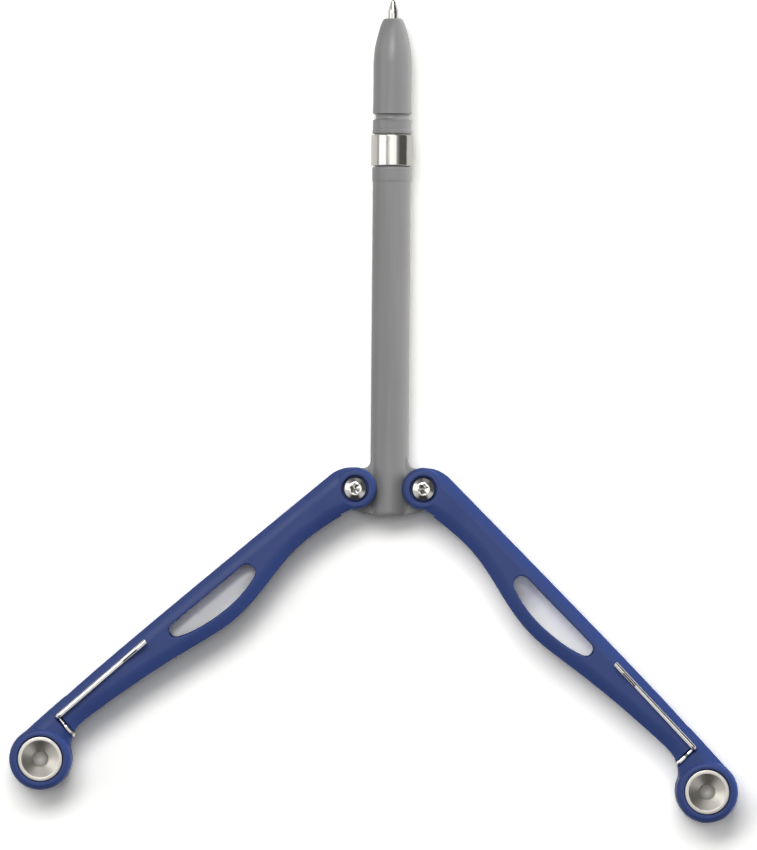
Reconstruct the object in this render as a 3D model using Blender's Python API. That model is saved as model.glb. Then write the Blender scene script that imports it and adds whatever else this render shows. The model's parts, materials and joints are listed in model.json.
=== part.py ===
"""Balisong pen: a ballpoint pen between two channel handles that swing on pivots at its tang.

The pen lies flat with its tip towards +Y and its front face up. Lengths below are millimetres.
"""
import math

import bmesh
import bpy
from mathutils import Matrix, Vector

MM = 0.001

# Pivots and pose
PIVOT_SPACING = 17.0
LEFT_SWING = 48.9
RIGHT_SWING = 43.6
HANDLE_REACH = 103.5

# Pen, as heights above the pivot line and radii
BARREL_R = 4.75
BARREL_TOP = 80.4
BARREL_RIM = 3.4
BASE_DROP = 7.1
SHOULDER_Y = 5.15
SHOULDER_FILLET = 1.75
TANG_HALF = 2.6
TANG_EDGE = 0.4
SEAT_HALF = 2.45
FERRULE_R = 5.25
FERRULE_BOTTOM = 80.7
FERRULE_TOP = 88.4
FERRULE_WALL = 0.65
SPIGOT_R = 4.3
SPIGOT_LENGTH = 3.4
NOSE_R = 4.8
NOSE_BOTTOM = 88.7
NOSE_END = 117.5
NOSE_END_R = 2.35
GROOVE_Y = 92.9
GROOVE_WIDTH = 1.65
GROOVE_DEPTH = 0.8
BORE_R = 3.35
BORE_BOTTOM = 15.0
REFILL_R = 3.0
REFILL_BOTTOM = 24.0
REFILL_SHOULDER = 106.0
REFILL_NECK_R = 2.2
REFILL_TOP = 109.7
TIP_R = 1.25
TIP_CONE = 119.2
TIP_END = 121.85
BALL_R = 0.5
PEN_END = 122.3

# Refill spring
SPRING_WIRE = 0.5
SPRING_R = 2.3
SPRING_TURNS = 5
SPRING_POINTS_PER_TURN = 9

# Handle section
BOSS_R = 5.1
RING_R = 7.55
LIP_HALF = 7.15
LIP_INSET = 0.15
SIDE_HALF = 5.8
CROWN = ((0.30, 0.52), (0.70, 0.36), (1.50, 0.12))
CHEEK_GAP = 3.15
SLOT_R = 8.2
TROUGH_CLEARANCE = 0.35
CORE_HALF = 3.45
SPINE = 2.3

# Pivot screw, sleeve nut and washers
PIVOT_HOLE_R = 2.3
SLEEVE_R = 2.0
SLEEVE_BORE_R = 1.55
SCREW_R = 1.25
HEAD_R = 2.85
HEAD_HEIGHT = 1.65
SOCKET_R = 1.4
SOCKET_DEPTH = 0.9
COUNTERBORE_R = 3.4
COUNTERBORE_FLOOR = 5.0
WASHER_R = 4.5
WASHER_IN = 2.6
WASHER_OUT = 3.0
FIT = 0.15

# End weights
WEIGHT_R = 5.5
WEIGHT_SEAT_R = 5.75
WEIGHT_SEAT_FLOOR = 4.65
WEIGHT_FLANGE = 4.85
WEIGHT_TOP = 6.9
WEIGHT_RIM_R = 4.6
WEIGHT_DISH_R = 2.1
WEIGHT_DISH_FLOOR = 4.1
HUB_R = 2.6
HUB_HOLE_R = 2.85
STUD_R = 1.4
STUD_LENGTH = 3.0

# Wire clip
CLIP_WIRE_R = 0.85
CLIP_ROW = -5.3
CLIP_LEG_S = 93.3
CLIP_LEG_Z = 6.05
CLIP_BEND = 1.15
CLIP_TIP_S = 64.9
CLIP_TOUCH_S = 68.7
CLIP_KINK_S = 73.9
CLIP_EDGE = 0.1
CLIP_HOOK_Z = 1.5
CLIP_HOOK_N = -2.1
CLIP_SLOT_HALF = 1.15
CLIP_SLOT_FLOOR = 5.1

FACE_HALF = SIDE_HALF + sum(rise for inset, rise in CROWN)
TROUGH_N = -PIVOT_SPACING / 2
FAR = 20.0


def clear_scene():
    for item in list(bpy.data.objects):
        bpy.data.objects.remove(item, do_unlink=True)


def material(name, colour, roughness, metallic):
    finish = bpy.data.materials.new(name)
    finish.use_nodes = True
    shader = finish.node_tree.nodes["Principled BSDF"]
    shader.inputs["Base Color"].default_value = (*colour, 1.0)
    shader.inputs["Roughness"].default_value = roughness
    shader.inputs["Metallic"].default_value = metallic
    finish.diffuse_color = (*colour, 1.0)
    return finish


# Outline helpers

def arc(centre, radius, start, end, steps):
    """Points on a circle from one angle to another, in degrees, both ends included."""
    angles = [math.radians(start + (end - start) * i / steps) for i in range(steps + 1)]
    return [(centre[0] + radius * math.cos(a), centre[1] + radius * math.sin(a)) for a in angles]


def bezier(p0, p1, p2, p3, steps):
    """Points on a cubic curve, without its first point."""
    points = []
    for i in range(1, steps + 1):
        t = i / steps
        u = 1 - t
        weights = (u ** 3, 3 * u * u * t, 3 * u * t * t, t ** 3)
        points.append(tuple(sum(w * p[k] for w, p in zip(weights, (p0, p1, p2, p3))) for k in (0, 1)))
    return points


def rounded_path(corners, radii, steps):
    """A path through 3-D corners, with an arc of the given radius at each inner corner."""
    corners = [Vector(c) for c in corners]
    path = [corners[0]]
    for before, corner, after, radius in zip(corners, corners[1:], corners[2:], radii):
        to_before = (before - corner).normalized()
        to_after = (after - corner).normalized()
        half = to_before.angle(to_after) / 2
        bisector = (to_before + to_after).normalized()
        centre = corner + bisector * (radius / math.sin(half))
        first = corner + to_before * (radius / math.tan(half)) - centre
        turn = math.pi - 2 * half
        axis = (-to_before).cross(to_after).normalized()
        for i in range(steps + 1):
            path.append(centre + Matrix.Rotation(turn * i / steps, 3, axis) @ first)
    path.append(corners[-1])
    return path


# Solid helpers: each returns a mesh builder in millimetres

def prism(outline, low, high):
    """A flat outline raised from one height to another."""
    bm = bmesh.new()
    face = bm.faces.new([bm.verts.new((x, y, low)) for x, y in outline])
    raised = bmesh.ops.extrude_face_region(bm, geom=[face])
    top = [v for v in raised["geom"] if isinstance(v, bmesh.types.BMVert)]
    bmesh.ops.translate(bm, verts=top, vec=(0, 0, high - low))
    bmesh.ops.recalc_face_normals(bm, faces=bm.faces)
    return bm


def crowned(outline, side_half, steps):
    """A raised outline whose two flat faces are drawn in by inset steps."""
    bm = prism(outline, -side_half, side_half)
    for sign in (1, -1):
        cap = [f for f in bm.faces if f.normal.z * sign > 0.99]
        for inset, rise in steps:
            bmesh.ops.inset_region(bm, faces=cap, thickness=inset, depth=rise, use_even_offset=True)
    return bm


def turned(profile, axis, segments, centre=(0, 0, 0)):
    """A closed profile of (radius, height) points, spun about an axis through the centre."""
    bm = bmesh.new()
    across = Vector((1, 0, 0))
    verts = [bm.verts.new(across * r + axis * h) for r, h in profile]
    edges = [bm.edges.new((a, b)) for a, b in zip(verts, verts[1:])]
    on_axis = profile[0][0] == 0 and profile[-1][0] == 0
    if not on_axis:
        edges.append(bm.edges.new((verts[-1], verts[0])))
    bmesh.ops.spin(bm, geom=verts + edges, axis=axis, cent=(0, 0, 0), steps=segments,
                   angle=math.tau, use_merge=True)
    bmesh.ops.remove_doubles(bm, verts=bm.verts, dist=1e-4)
    bmesh.ops.recalc_face_normals(bm, faces=bm.faces)
    flat_poles = [v for v in bm.verts if v.co.cross(axis).length < 1e-4
                  and all(abs(f.normal.dot(axis)) > 0.9999 for f in v.link_faces)]
    bmesh.ops.dissolve_verts(bm, verts=flat_poles)
    bmesh.ops.translate(bm, verts=bm.verts, vec=centre)
    return bm


Y_AXIS = Vector((0, 1, 0))
Z_AXIS = Vector((0, 0, 1))


def cylinder(radius, low, high, segments, centre=(0, 0, 0)):
    return turned([(0, low), (radius, low), (radius, high), (0, high)], Z_AXIS, segments, centre)


def block(low, high):
    bm = bmesh.new()
    bmesh.ops.create_cube(bm, size=1.0)
    size = Vector(high) - Vector(low)
    bmesh.ops.scale(bm, verts=bm.verts, vec=size)
    bmesh.ops.translate(bm, verts=bm.verts, vec=(Vector(high) + Vector(low)) / 2)
    return bm


# Object helpers

def place(name, bm, finish, parent, mirrored=False):
    """Make the node: the mesh in metres, its finish, and the empty that carries it."""
    bmesh.ops.scale(bm, verts=bm.verts, vec=(MM, -MM if mirrored else MM, MM))
    if mirrored:
        bmesh.ops.reverse_faces(bm, faces=bm.faces)
    mesh = bpy.data.meshes.new(name)
    bm.to_mesh(mesh)
    bm.free()
    mesh.shade_smooth()
    mesh.set_sharp_from_angle(angle=math.radians(30))
    mesh.materials.append(finish)
    node = bpy.data.objects.new(name, mesh)
    bpy.context.scene.collection.objects.link(node)
    node.parent = parent
    return node


def axis_empty(name, location, turn, parent):
    empty = bpy.data.objects.new(name, None)
    bpy.context.scene.collection.objects.link(empty)
    empty.location = Vector(location) * MM
    empty.rotation_euler = (0, 0, math.radians(turn))
    empty.parent = parent
    return empty


def combine(base, steps):
    """Join to and cut from a solid in turn. Each step is an operation and another solid."""
    target = scratch_object("combine_base", base)
    for operation, tool_bm in steps:
        tool = scratch_object("combine_tool", tool_bm)
        change = target.modifiers.new("combine", "BOOLEAN")
        change.operation = operation
        change.solver = "EXACT"
        change.object = tool
        graph = bpy.context.evaluated_depsgraph_get()
        result = bpy.data.meshes.new_from_object(target.evaluated_get(graph))
        target.modifiers.clear()
        target.data = result
        bpy.data.objects.remove(tool, do_unlink=True)
    bm = bmesh.new()
    bm.from_mesh(target.data)
    bpy.data.objects.remove(target, do_unlink=True)
    bmesh.ops.remove_doubles(bm, verts=bm.verts, dist=1e-3)
    bmesh.ops.dissolve_degenerate(bm, edges=bm.edges, dist=1e-3)
    return bm


def scratch_object(name, bm):
    mesh = bpy.data.meshes.new(name)
    bm.to_mesh(mesh)
    bm.free()
    item = bpy.data.objects.new(name, mesh)
    bpy.context.scene.collection.objects.link(item)
    item.hide_render = True
    item.display_type = "WIRE"
    return item


# Pen

def tang_outline():
    """Base arc that runs into the two lobes, then shoulders that run into the barrel."""
    pivot_x = PIVOT_SPACING / 2
    drop = BASE_DROP - BOSS_R
    base_y = (pivot_x ** 2 - drop ** 2) / (2 * drop)
    base_r = base_y + BASE_DROP
    touch = math.degrees(math.atan2(-base_y, pivot_x))
    right = arc((pivot_x, 0), BOSS_R, touch, 90, 10)
    fillet_x = BARREL_R + SHOULDER_FILLET
    fillet_y = SHOULDER_Y + SHOULDER_FILLET
    right += arc((fillet_x, fillet_y), SHOULDER_FILLET, 270, 180, 4)
    right.append((BARREL_R - 1.0, fillet_y))
    left = [(-x, y) for x, y in reversed(right)]
    base = arc((0, base_y), base_r, -180 - touch, touch, 8)
    return right + left + base[1:-1]


def barrel_profile():
    """Half section of the barrel: domed base, straight body, rim and spigot."""
    return [
        (0, -BASE_DROP),
        (2.4, -BASE_DROP + 0.12),
        (3.8, -BASE_DROP + 0.45),
        (4.45, -BASE_DROP + 1.0),
        (BARREL_R, -BASE_DROP + 1.9),
        (BARREL_R, BARREL_TOP - BARREL_RIM - 0.3),
        (BARREL_R + 0.15, BARREL_TOP - BARREL_RIM),
        (BARREL_R + 0.15, BARREL_TOP - 0.3),
        (BARREL_R - 0.1, BARREL_TOP),
        (SPIGOT_R, BARREL_TOP),
        (SPIGOT_R, BARREL_TOP + SPIGOT_LENGTH),
        (0, BARREL_TOP + SPIGOT_LENGTH),
    ]


def barrel():
    """Barrel and tang in one moulding, with pockets where the handle bosses turn."""
    body = turned(barrel_profile(), Y_AXIS, 32)
    tang = crowned(tang_outline(), TANG_HALF - TANG_EDGE, ((TANG_EDGE, TANG_EDGE),))
    steps = [("UNION", tang)]
    for side in (-1, 1):
        centre = (side * PIVOT_SPACING / 2, 0, 0)
        pocket_r = BOSS_R + TROUGH_CLEARANCE
        steps.append(("DIFFERENCE", cylinder(pocket_r, SEAT_HALF, FAR, 36, centre)))
        steps.append(("DIFFERENCE", cylinder(pocket_r, -FAR, -SEAT_HALF, 36, centre)))
        steps.append(("DIFFERENCE", cylinder(PIVOT_HOLE_R, -FAR, FAR, 18, centre)))
    bore_end = BARREL_TOP + SPIGOT_LENGTH + 1
    bore = [(0, BORE_BOTTOM), (BORE_R, BORE_BOTTOM), (BORE_R, bore_end), (0, bore_end)]
    steps.append(("DIFFERENCE", turned(bore, Y_AXIS, 16)))
    return combine(body, steps)


def ferrule():
    inner = FERRULE_R - FERRULE_WALL
    edge = 0.3
    return turned([
        (inner, FERRULE_BOTTOM),
        (FERRULE_R - edge, FERRULE_BOTTOM),
        (FERRULE_R, FERRULE_BOTTOM + edge),
        (FERRULE_R, FERRULE_TOP - edge),
        (FERRULE_R - edge, FERRULE_TOP),
        (inner, FERRULE_TOP),
    ], Y_AXIS, 28)


def nose_cone():
    """Tapered nose with a round groove, a spigot for the ferrule and a stepped bore."""
    flare = 0.1
    groove = []
    for x, y in arc((0, 0), 1, -90, 90, 4):
        groove.append((NOSE_R + flare - GROOVE_DEPTH * x, GROOVE_Y + GROOVE_WIDTH / 2 * y))
    outer = [
        (SPIGOT_R, NOSE_BOTTOM - SPIGOT_LENGTH),
        (SPIGOT_R, NOSE_BOTTOM),
        (NOSE_R, NOSE_BOTTOM),
        (NOSE_R + flare, NOSE_BOTTOM + 0.3),
        *groove,
        (NOSE_R, GROOVE_Y + 4),
        *bezier((NOSE_R, 105.5), (NOSE_R, 110.0), (4.0, 112.6), (3.35, 115.0), 6),
        *bezier((3.35, 115.0), (3.05, 116.0), (2.75, 116.8), (NOSE_END_R, NOSE_END), 2),
    ]
    inner = [
        (TIP_R + 0.3, NOSE_END),
        (TIP_R + 0.3, REFILL_TOP + 1.0),
        (REFILL_NECK_R + 0.3, REFILL_TOP + 0.5),
        (REFILL_NECK_R + 0.3, REFILL_SHOULDER + 2.0),
        (BORE_R, REFILL_SHOULDER + 0.6),
        (BORE_R, NOSE_BOTTOM - SPIGOT_LENGTH),
    ]
    return turned(outer + inner, Y_AXIS, 24)


def refill_tube():
    return turned([
        (0, REFILL_BOTTOM),
        (REFILL_R - 0.4, REFILL_BOTTOM),
        (REFILL_R, REFILL_BOTTOM + 0.6),
        (REFILL_R, REFILL_SHOULDER),
        (REFILL_NECK_R, REFILL_SHOULDER + 1.5),
        (REFILL_NECK_R, REFILL_TOP),
        (0, REFILL_TOP),
    ], Y_AXIS, 16)


def refill_tip():
    """Writing tip: a straight neck, a cone and a socket that holds the ball."""
    socket_r = BALL_R + 0.06
    ball_y = PEN_END - BALL_R
    socket = [(socket_r * math.cos(math.radians(a)), ball_y + socket_r * math.sin(math.radians(a)))
              for a in (5, -30, -60)]
    return turned([
        (0, REFILL_TOP + FIT),
        (TIP_R, REFILL_TOP + FIT),
        (TIP_R, TIP_CONE - 1.2),
        (TIP_R + 0.04, TIP_CONE - 1.0),
        (TIP_R + 0.04, TIP_CONE),
        (BALL_R + 0.14, TIP_END),
        *socket,
        (0, ball_y - socket_r),
    ], Y_AXIS, 16)


def writing_ball():
    bm = bmesh.new()
    bmesh.ops.create_icosphere(bm, subdivisions=2, radius=BALL_R)
    bmesh.ops.translate(bm, verts=bm.verts, vec=(0, PEN_END - BALL_R, 0))
    return bm


def spring_path():
    """Helix along the bore, from its floor to the back of the refill."""
    low = BORE_BOTTOM + SPRING_WIRE / 2 + FIT
    high = REFILL_BOTTOM - SPRING_WIRE / 2 - FIT
    count = SPRING_TURNS * SPRING_POINTS_PER_TURN
    path = []
    for i in range(count + 1):
        angle = math.tau * i / SPRING_POINTS_PER_TURN
        height = low + (high - low) * i / count
        path.append(Vector((SPRING_R * math.cos(angle), height, SPRING_R * math.sin(angle))))
    return path


def least_self_gap(path, wire, points_per_turn):
    """Least clear distance between one turn of a wound wire and the next."""
    apart = points_per_turn // 2
    gaps = []
    for i, a in enumerate(path):
        gaps += [(a - b).length - wire for b in path[i + apart:]]
    return min(gaps)


def wire(name, path, radius, resolution):
    """A round wire along a path, as a mesh builder in millimetres."""
    curve = bpy.data.curves.new(name, "CURVE")
    curve.dimensions = "3D"
    curve.bevel_depth = radius
    curve.bevel_resolution = resolution
    curve.use_fill_caps = True
    spline = curve.splines.new("POLY")
    spline.points.add(len(path) - 1)
    for point, spot in zip(spline.points, path):
        point.co = (*spot, 1.0)
    guide = bpy.data.objects.new(name, curve)
    bpy.context.scene.collection.objects.link(guide)
    graph = bpy.context.evaluated_depsgraph_get()
    mesh = bpy.data.meshes.new_from_object(guide.evaluated_get(graph))
    bpy.data.objects.remove(guide, do_unlink=True)
    bm = bmesh.new()
    bm.from_mesh(mesh)
    bmesh.ops.remove_doubles(bm, verts=bm.verts, dist=1e-4)
    bmesh.ops.recalc_face_normals(bm, faces=bm.faces)
    return bm


# Handle, in its own frame: s runs from the pivot to the weight, n towards the belly edge

BELLY_WAIST = (18.0, 1.38)
BELLY_TOP = (44.2, 4.8)
BELLY_NECK = (90.0, -0.45)
NECK_FILLET = 1.2
STRAIGHT_START = (2.77, -6.65)


def belly(offset, steps):
    """The belly edge from the neck back to the waist, moved in by an offset."""
    waist = (BELLY_WAIST[0], BELLY_WAIST[1] - offset)
    top = (BELLY_TOP[0], BELLY_TOP[1] - offset)
    neck = (BELLY_NECK[0], BELLY_NECK[1] - offset)
    points = [neck]
    points += bezier(neck, (60.0, neck[1] + 1.2), (52.2, top[1]), top, steps)
    points += bezier(top, (34.2, top[1]), (28.0, waist[1]), waist, steps)
    return points


def handle_outline():
    boss_r = BOSS_R - LIP_INSET
    ring_r = RING_R - LIP_INSET
    ring = (HANDLE_REACH, 0)
    end_n = -ring_r
    outline = [STRAIGHT_START]
    outline += bezier(STRAIGHT_START, (36.0, -7.4), (78.0, -8.05), (HANDLE_REACH, end_n), 6)
    fillet_n = BELLY_NECK[1] + NECK_FILLET
    reach = ring_r + NECK_FILLET
    fillet_s = HANDLE_REACH - math.sqrt(reach ** 2 - fillet_n ** 2)
    meet = math.degrees(math.atan2(fillet_n, HANDLE_REACH - fillet_s))
    outline += arc(ring, ring_r, -90, 180 - meet, 18)[1:]
    outline += arc((fillet_s, fillet_n), NECK_FILLET, -meet, -90, 4)[1:]
    outline += belly(0, 7)
    leave = 40
    on_boss = (boss_r * math.cos(math.radians(leave)), boss_r * math.sin(math.radians(leave)))
    outline += bezier(BELLY_WAIST, (9.0, 2.0), (4.7, 2.35), on_boss, 5)
    outer_n = 1.7
    outer_r = outer_n - STRAIGHT_START[1]
    turn = math.degrees(math.atan2(outer_n, STRAIGHT_START[0])) + 180
    outline += arc((0, 0), boss_r, leave, turn, 10)[1:]
    outline += arc((STRAIGHT_START[0], outer_n), outer_r, turn, 270, 4)[1:-1]
    return outline


def window_outline():
    """Long D-shaped window: two round ends, one straight side, one side that follows the belly."""
    near = (34.1, -1.7)
    near_r = 2.05
    far = (57.1, -2.35)
    far_r = 1.75
    crest = (43.3, 1.62)
    outline = arc(far, far_r, 65, -90, 6)
    outline += arc(near, near_r, -90, -250, 7)
    start = outline[-1]
    end = outline[0]
    outline += bezier(start, (36.2, 1.25), (40.0, crest[1]), crest, 4)
    outline += bezier(crest, (47.5, crest[1]), (53.8, 1.13), end, 5)[:-1]
    return outline


def lip(centre_s, radius, segments):
    """Raised round boss that stands a little proud of both faces."""
    flat = LIP_HALF
    side = LIP_HALF - 0.75
    return turned([
        (0, -flat), (radius - 0.7, -flat), (radius - 0.22, -flat + 0.22), (radius, -side),
        (radius, side), (radius - 0.22, flat - 0.22), (radius - 0.7, flat), (0, flat),
    ], Z_AXIS, segments, (centre_s, 0, 0))


def trough():
    """Round channel that takes the closed pen, wider where the ferrule lies."""
    radius = NOSE_R + TROUGH_CLEARANCE
    relief = FERRULE_R + TROUGH_CLEARANCE
    low = FERRULE_BOTTOM - 0.6
    high = FERRULE_TOP + 0.6
    start = -FAR
    end = HANDLE_REACH + FAR
    bm = turned([(0, start), (radius, start), (radius, low), (relief, low),
                 (relief, high), (radius, high), (radius, end), (0, end)], Y_AXIS, 32)
    bmesh.ops.rotate(bm, verts=bm.verts, cent=(0, 0, 0), matrix=Matrix.Rotation(-math.pi / 2, 3, "Z"))
    bmesh.ops.translate(bm, verts=bm.verts, vec=(0, TROUGH_N, 0))
    return bm


def core():
    """Deep slot behind the trough, which leaves two side walls and the spine."""
    start_s = SLOT_R - 1.2
    end_s = 82.0
    inner = [p for p in belly(SPINE, 6) if p[0] < end_s - 2]
    inner.append((start_s, BELLY_WAIST[1] - SPINE))
    return prism([(start_s, TROUGH_N), (end_s, TROUGH_N), (end_s, -3.2), *inner], -CORE_HALF, CORE_HALF)


def clip_slot():
    """Slot across the front face for the clip's leg, round at its blind end."""
    half = CLIP_SLOT_HALF
    outline = arc((CLIP_LEG_S, CLIP_ROW), half, 180, 360, 6)
    outline += [(CLIP_LEG_S + half, 3.0), (CLIP_LEG_S - half, 3.0)]
    return prism(outline, CLIP_SLOT_FLOOR, FAR)


def handle():
    """One moulded channel handle with its window, pivot boss and weight ring."""
    ring = (HANDLE_REACH, 0, 0)
    steps = [
        ("UNION", lip(0, BOSS_R, 32)),
        ("UNION", lip(HANDLE_REACH, RING_R, 36)),
        ("DIFFERENCE", cylinder(SLOT_R, -CHEEK_GAP, CHEEK_GAP, 40)),
        ("DIFFERENCE", trough()),
        ("DIFFERENCE", core()),
        ("DIFFERENCE", prism(window_outline(), -FAR, FAR)),
    ]
    for low, high in ((COUNTERBORE_FLOOR, FAR), (-FAR, -COUNTERBORE_FLOOR)):
        steps.append(("DIFFERENCE", cylinder(COUNTERBORE_R, low, high, 28)))
    for low, high in ((WEIGHT_SEAT_FLOOR, FAR), (-FAR, -WEIGHT_SEAT_FLOOR)):
        steps.append(("DIFFERENCE", cylinder(WEIGHT_SEAT_R, low, high, 36, ring)))
    steps.append(("DIFFERENCE", cylinder(PIVOT_HOLE_R, -FAR, FAR, 18)))
    steps.append(("DIFFERENCE", cylinder(HUB_HOLE_R, -FAR, FAR, 18, ring)))
    steps.append(("DIFFERENCE", clip_slot()))
    groove_n = CLIP_EDGE - CLIP_WIRE_R - FIT
    half = CLIP_SLOT_HALF + 0.1
    steps.append(("DIFFERENCE", block((CLIP_LEG_S - half, groove_n, 0.9), (CLIP_LEG_S + half, 3.0, FAR))))
    hook_half = CLIP_WIRE_R + 0.5
    steps.append(("DIFFERENCE", block(
        (CLIP_LEG_S - hook_half, CLIP_HOOK_N - 0.3, CLIP_HOOK_Z - CLIP_WIRE_R - 0.25),
        (CLIP_LEG_S + hook_half, 3.0, CLIP_HOOK_Z + CLIP_WIRE_R + 0.25))))
    return combine(crowned(handle_outline(), SIDE_HALF, CROWN), steps)


def clip():
    """Spring wire: upturned tip, long arm over the face, leg across the handle, hook in the spine."""
    face = FACE_HALF
    path = rounded_path([
        (CLIP_TIP_S, CLIP_ROW, face + 2.2),
        (CLIP_TOUCH_S, CLIP_ROW, face + 1.0),
        (CLIP_KINK_S, CLIP_ROW, face + 2.2),
        (CLIP_LEG_S, CLIP_ROW, face + 1.6),
        (CLIP_LEG_S, CLIP_ROW, CLIP_LEG_Z),
        (CLIP_LEG_S, CLIP_EDGE, CLIP_LEG_Z),
        (CLIP_LEG_S, CLIP_EDGE, CLIP_HOOK_Z),
        (CLIP_LEG_S, CLIP_HOOK_N, CLIP_HOOK_Z),
    ], (3.0, 3.0, CLIP_BEND, CLIP_BEND, CLIP_BEND, CLIP_BEND), 4)
    bm = wire("clip_path", path, CLIP_WIRE_R, 2)
    bmesh.ops.translate(bm, verts=bm.verts, vec=(-CLIP_LEG_S, 0, -CLIP_LEG_Z))
    return bm


# Pivot hardware and weights, about the axis of their bore

def button_head(low, facing):
    """Points of a domed head with a socket, from its edge to the axis."""
    top = low + HEAD_HEIGHT
    floor = top - SOCKET_DEPTH
    points = [(HEAD_R, low), (HEAD_R, low + 0.35)]
    points += [(2.5, low + 1.0), (2.05, top - 0.25), (SOCKET_R + 0.1, top)]
    points += [(SOCKET_R, top - 0.1), (SOCKET_R, floor), (0, floor - 0.3)]
    return [(r, z * facing) for r, z in points]


def pivot_screw():
    low = COUNTERBORE_FLOOR + FIT
    end = -COUNTERBORE_FLOOR + 1.6
    return turned([(0, end), (SCREW_R, end), (SCREW_R, low), *button_head(low, 1)], Z_AXIS, 18)


def pivot_nut():
    """Sleeve nut: a domed head at the back and a bored shaft that reaches the screw's head."""
    low = COUNTERBORE_FLOOR + FIT
    end = COUNTERBORE_FLOOR - FIT
    blind = -COUNTERBORE_FLOOR + 1.2
    shaft = [(0, blind), (SLEEVE_BORE_R, blind), (SLEEVE_BORE_R, end), (SLEEVE_R, end), (SLEEVE_R, -low)]
    return turned([*shaft, *button_head(low, -1)], Z_AXIS, 18)


def washer(facing):
    inner = SLEEVE_R + FIT
    low = WASHER_IN * facing
    high = WASHER_OUT * facing
    return turned([(inner, low), (WASHER_R, low), (WASHER_R, high), (inner, high)], Z_AXIS, 20)


def weight_dish():
    """Flange, flat rim and conical dish, from the hub to the axis."""
    return [
        (HUB_R, WEIGHT_FLANGE),
        (WEIGHT_R, WEIGHT_FLANGE),
        (WEIGHT_R, WEIGHT_TOP - 0.2),
        (WEIGHT_R - 0.2, WEIGHT_TOP),
        (WEIGHT_RIM_R, WEIGHT_TOP),
        (WEIGHT_RIM_R - 0.2, WEIGHT_TOP - 0.25),
        (WEIGHT_DISH_R, WEIGHT_DISH_FLOOR + 0.1),
        (WEIGHT_DISH_R - 0.3, WEIGHT_DISH_FLOOR),
        (0, WEIGHT_DISH_FLOOR),
    ]


def weight_front():
    """Dished weight whose stud screws into the one at the back."""
    stud = [(0, -STUD_LENGTH), (STUD_R, -STUD_LENGTH), (STUD_R, FIT), (HUB_R, FIT)]
    return turned(stud + weight_dish(), Z_AXIS, 24)


def weight_back():
    bore_r = STUD_R + 0.25
    socket = [(0, STUD_LENGTH + 0.3), (bore_r, STUD_LENGTH + 0.3), (bore_r, FIT), (HUB_R, FIT)]
    return turned([(r, -z) for r, z in socket + weight_dish()], Z_AXIS, 24)


# Assembly

def add_pen(root, finishes):
    place("barrel", barrel(), finishes["grey"], root)
    place("ferrule", ferrule(), finishes["bright"], root)
    place("nose_cone", nose_cone(), finishes["grey"], root)
    place("refill_tube", refill_tube(), finishes["brass"], root)
    place("refill_tip", refill_tip(), finishes["bright"], root)
    place("writing_ball", writing_ball(), finishes["bright"], root)
    path = spring_path()
    spring = wire("spring_path", path, SPRING_WIRE / 2, 1)
    place("refill_spring", spring, finishes["steel"], root)
    gap = least_self_gap(path, SPRING_WIRE, SPRING_POINTS_PER_TURN)
    print(f"refill_spring least gap to itself: {gap:.2f} mm")


def add_handle(side, pivot_x, turn, mirrored, root, finishes):
    """A handle and all that it carries, under an empty on the pivot axis."""
    axis = axis_empty(f"{side}_pivot_axis", (pivot_x, 0, 0), turn, root)
    place(f"{side}_handle", handle(), finishes["blue"], axis, mirrored)
    place(f"{side}_pivot_screw", pivot_screw(), finishes["bright"], axis)
    place(f"{side}_pivot_nut", pivot_nut(), finishes["bright"], axis)
    place(f"{side}_washer_front", washer(1), finishes["brass"], axis)
    place(f"{side}_washer_back", washer(-1), finishes["brass"], axis)
    end = axis_empty(f"{side}_weight_axis", (HANDLE_REACH, 0, 0), 0, axis)
    place(f"{side}_weight_front", weight_front(), finishes["steel"], end)
    place(f"{side}_weight_back", weight_back(), finishes["steel"], end)
    leg = axis_empty(f"{side}_clip_axis", (CLIP_LEG_S, 0, CLIP_LEG_Z), 0, axis)
    place(f"{side}_clip", clip(), finishes["bright"], leg, mirrored)


def centre_on_footprint(root):
    """Move the whole pen so that the middle of its footprint is at the origin, on the ground."""
    bpy.context.view_layer.update()
    corners = [node.matrix_world @ Vector(v.co)
               for node in bpy.data.objects if node.type == "MESH" for v in node.data.vertices]
    low = Vector(min(c[k] for c in corners) for k in range(3))
    high = Vector(max(c[k] for c in corners) for k in range(3))
    root.location = (-(low.x + high.x) / 2, -(low.y + high.y) / 2, -low.z)
    bpy.context.view_layer.update()


def main():
    clear_scene()
    finishes = {
        "grey": material("grey_plastic", (0.24, 0.24, 0.24), 0.42, 0.0),
        "blue": material("blue_plastic", (0.045, 0.065, 0.20), 0.40, 0.0),
        "bright": material("bright_metal", (0.80, 0.79, 0.77), 0.12, 1.0),
        "steel": material("turned_steel", (0.62, 0.61, 0.58), 0.30, 1.0),
        "brass": material("brass", (0.72, 0.55, 0.28), 0.30, 1.0),
    }
    root = axis_empty("pen_axis", (0, 0, 0), 0, None)
    add_pen(root, finishes)
    add_handle("left", -PIVOT_SPACING / 2, 270 - LEFT_SWING, False, root, finishes)
    add_handle("right", PIVOT_SPACING / 2, 270 + RIGHT_SWING, True, root, finishes)
    centre_on_footprint(root)
    for item in bpy.data.objects:
        if item.type == "EMPTY":
            spot = item.matrix_world.translation
            print(f"{item.name}: {spot.x:.6f} {spot.y:.6f} {spot.z:.6f}")


main()
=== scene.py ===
"""Looks of the balisong pen: camera, studio, finishes and the smooth visible pieces.

Lengths are millimetres in a piece's own frame and metres in the scene.
"""
import json
import math

import bmesh
import bpy
from mathutils import Matrix, Vector


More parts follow.
